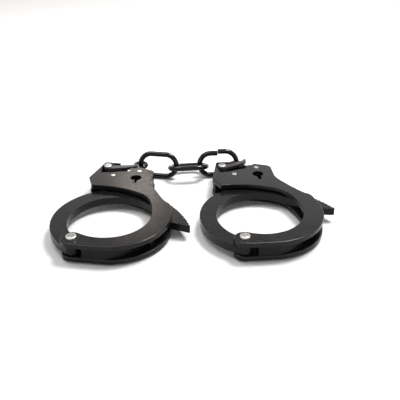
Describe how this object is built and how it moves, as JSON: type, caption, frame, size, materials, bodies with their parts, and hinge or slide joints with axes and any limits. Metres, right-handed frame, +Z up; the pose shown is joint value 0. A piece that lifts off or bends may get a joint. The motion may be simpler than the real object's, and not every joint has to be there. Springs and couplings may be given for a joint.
{
  "type": "handcuffs",
  "caption": "Black metal handcuffs lying flat: ratchet bows on riveted cheek plates with lock housings, keyholes and release levers, joined by swivels and a chain of oval links.",
  "frame": {"origin": "under the middle of the whole pair, on the surface that the cuffs lie on", "axes": "+Z up, out of the cheeks; +X from the left cuff to the right cuff along the chain; +Y towards the lock housings and the chain"},
  "size_m": [0.1799, 0.12, 0.0204],
  "materials": {
    "cheek_black": "satin black coating on stamped steel",
    "inner_black": "matt black coated steel",
    "bow_black": "satin black coated steel",
    "link_black": "gloss black coated steel wire",
    "lever_grey": "satin dark grey steel",
    "bright_rivet": "bright nickel plated steel",
    "lock_steel": "dull hardened steel"
  },
  "bodies": {
    "left_cuff": {"left_bottom_cheek": "cheek_black", "left_top_cheek": "cheek_black", "left_lock_frame": "inner_black", "left_throat_spacer": "inner_black", "left_arm_spacer": "inner_black", "left_bow_rivet": "bright_rivet", "left_pawl_rivet": "bright_rivet", "left_pawl_spring": "lock_steel", "left_key_post": "lock_steel", "left_lever_rivet": "bright_rivet", "left_swivel_rivet": "bright_rivet"},
    "left_bow": {"left_bow": "bow_black"},
    "left_pawl": {"left_pawl": "lock_steel"},
    "left_lever": {"left_release_lever": "lever_grey"},
    "left_swivel": {"left_chain_swivel": "link_black"},
    "right_cuff": {"right_bottom_cheek": "cheek_black", "right_top_cheek": "cheek_black", "right_lock_frame": "inner_black", "right_throat_spacer": "inner_black", "right_arm_spacer": "inner_black", "right_bow_rivet": "bright_rivet", "right_pawl_rivet": "bright_rivet", "right_pawl_spring": "lock_steel", "right_key_post": "lock_steel", "right_lever_rivet": "bright_rivet", "right_swivel_rivet": "bright_rivet"},
    "right_bow": {"right_bow": "bow_black"},
    "right_pawl": {"right_pawl": "lock_steel"},
    "right_lever": {"right_release_lever": "lever_grey"},
    "right_swivel": {"right_chain_swivel": "link_black"},
    "link_left": {"chain_link_left": "link_black"},
    "link_middle": {"chain_link_middle": "link_black"},
    "link_right": {"chain_link_right": "link_black"}
  },
  "joints": [
    {"name": "left_bow_swing", "type": "hinge", "parent": "left_cuff", "child": "left_bow", "pos_m": [-0.07238, -0.05054, 0.0072], "axis": [0, 0, 1], "range_deg": [-60, 140]},
    {"name": "left_lever_press", "type": "hinge", "parent": "left_cuff", "child": "left_lever", "pos_m": [-0.06148, 0.04076, 0.0135], "axis": [0, 0, 1], "range_deg": [-7, 0], "stiffness_Nm_per_rad": 0.02},
    {"name": "left_pawl_lift", "type": "hinge", "parent": "left_cuff", "child": "left_pawl", "pos_m": [-0.05648, 0.02716, 0.0072], "axis": [0, 0, 1], "range_deg": [0, 8]},
    {"name": "left_swivel_turn", "type": "hinge", "parent": "left_cuff", "child": "left_swivel", "pos_m": [-0.03878, 0.03286, 0.0072], "axis": [0, 0, 1], "range_deg": [-3, 24]},
    {"name": "left_link_turn", "type": "hinge", "parent": "left_swivel", "child": "link_left", "pos_m": [-0.03956, 0.05234, 0.0097], "axis": [0, 0, 1], "range_deg": [-3, 45]},
    {"name": "middle_link_fold", "type": "hinge", "parent": "link_left", "child": "link_middle", "pos_m": [-0.0181, 0.04853, 0.0082], "axis": [-0.1219, 0.9925, 0], "range_deg": [-75, 18]},
    {"name": "right_link_fold", "type": "hinge", "parent": "link_middle", "child": "link_right", "pos_m": [0.0079, 0.05172, 0.0082], "axis": [0.1219, -0.9925, 0], "range_deg": [-75, 75]},
    {"name": "right_swivel_turn", "type": "hinge", "parent": "link_right", "child": "right_swivel", "pos_m": [0.02956, 0.05305, 0.0097], "axis": [0, 0, 1], "range_deg": [-1, 45]},
    {"name": "right_cuff_turn", "type": "hinge", "parent": "right_swivel", "child": "right_cuff", "pos_m": [0.04292, 0.03884, 0.0072], "axis": [0, 0, 1], "range_deg": [0, 60]},
    {"name": "right_bow_swing", "type": "hinge", "parent": "right_cuff", "child": "right_bow", "pos_m": [0.02987, -0.05012, 0.0072], "axis": [0, 0, 1], "range_deg": [-60, 8]},
    {"name": "right_lever_press", "type": "hinge", "parent": "right_cuff", "child": "right_lever", "pos_m": [0.019, 0.04118, 0.0135], "axis": [0, 0, 1], "range_deg": [-16, 0], "stiffness_Nm_per_rad": 0.02},
    {"name": "right_pawl_lift", "type": "hinge", "parent": "right_cuff", "child": "right_pawl", "pos_m": [0.02706, 0.02914, 0.0072], "axis": [0, 0, 1], "range_deg": [0, 8]}
  ],
  "couplings": [
    {"joint": "left_pawl_lift", "follows": "left_lever_press", "ratio": -0.85},
    {"joint": "right_pawl_lift", "follows": "right_lever_press", "ratio": -0.37}
  ]
}
